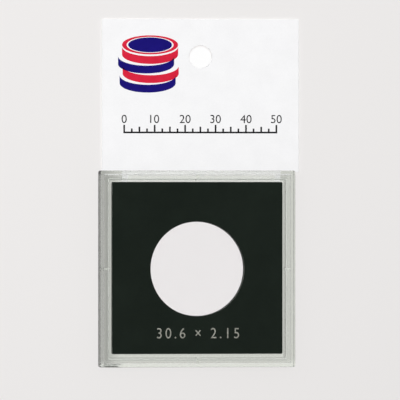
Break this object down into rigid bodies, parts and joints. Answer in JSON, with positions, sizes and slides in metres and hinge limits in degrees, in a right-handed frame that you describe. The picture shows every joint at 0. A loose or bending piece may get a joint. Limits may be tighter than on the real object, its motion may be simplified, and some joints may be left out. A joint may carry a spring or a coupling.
{
  "type": "coin holder",
  "caption": "Clear square snap case for a coin: tray, lift-off cover with skirt and black insert with a round coin hole, glued to a white card with a hang hole.",
  "frame": {"origin": "middle of the footprint of case and card, on the surface that the holder lies on", "axes": "+Z out of the window, the way the cover lifts; +Y from the case to the top of the card; +X to the right seen from the front"},
  "size_m": [0.0658, 0.113, 0.0069],
  "materials": {
    "clear_polystyrene": "clear moulded, polished",
    "black_sheet": "satin black sheet, die cut",
    "white_board": "coated white board",
    "adhesive": "double-sided strip",
    "silver_foil": "hot-stamped numbers on the insert",
    "printing_ink": "printed marks on the card"
  },
  "bodies": {
    "tray_and_card": {"back_tray": "clear_polystyrene", "adhesive_strip": "adhesive", "hang_card": "white_board"},
    "cover": {"front_cover": "clear_polystyrene"},
    "loose_insert": {"insert": "black_sheet"}
  },
  "joints": [
    {"name": "cover_lift", "type": "slide", "parent": "tray_and_card", "child": "cover", "axis": [0, 0, 1], "range_m": [0, 0.024]},
    {"name": "insert_lift", "type": "slide", "parent": "tray_and_card", "child": "loose_insert", "axis": [0, 0, 1], "range_m": [0, 0.012]}
  ],
  "couplings": [
    {"joint": "insert_lift", "follows": "cover_lift", "ratio": 0.5}
  ]
}
